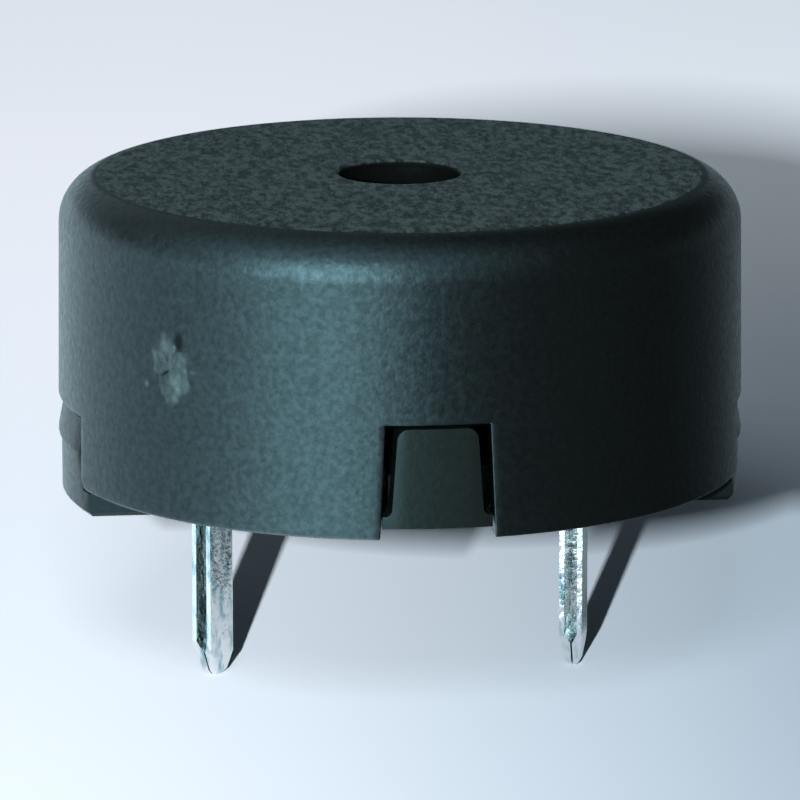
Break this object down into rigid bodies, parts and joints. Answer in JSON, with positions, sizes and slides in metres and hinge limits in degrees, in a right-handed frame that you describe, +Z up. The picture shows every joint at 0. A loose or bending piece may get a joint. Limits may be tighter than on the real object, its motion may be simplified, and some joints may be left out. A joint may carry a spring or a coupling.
{
  "type": "piezo buzzer",
  "caption": "Round black piezo buzzer with a central sound hole, snap-fitted base, side feet and folded metal pins for a circuit board.",
  "frame": {"origin": "on the axis of the round case, in the plane of the feet, where the circuit board touches", "axes": "+Z up along the axis, out through the sound hole; +X along the line of the pins, towards the right pin in the picture; -Y towards the latch tab at the front of the picture"},
  "size_m": [0.0188, 0.0188, 0.0141],
  "materials": {
    "case_plastic": "black moulded plastic, satin sides and a finely grained top",
    "base_plastic": "black moulded plastic, satin",
    "plate_brass": "rolled sheet",
    "piezo_ceramic": "fired ceramic with a silver electrode coating",
    "silicone": "cured silicone glue",
    "tinned_brass": "stamped sheet, bright tin plating"
  },
  "bodies": {
    "root": {"case": "case_plastic", "base": "base_plastic", "diaphragm_plate": "plate_brass", "piezo_disc": "piezo_ceramic", "adhesive_ring": "silicone", "terminal_left": "tinned_brass", "terminal_right": "tinned_brass"}
  },
  "joints": []
}
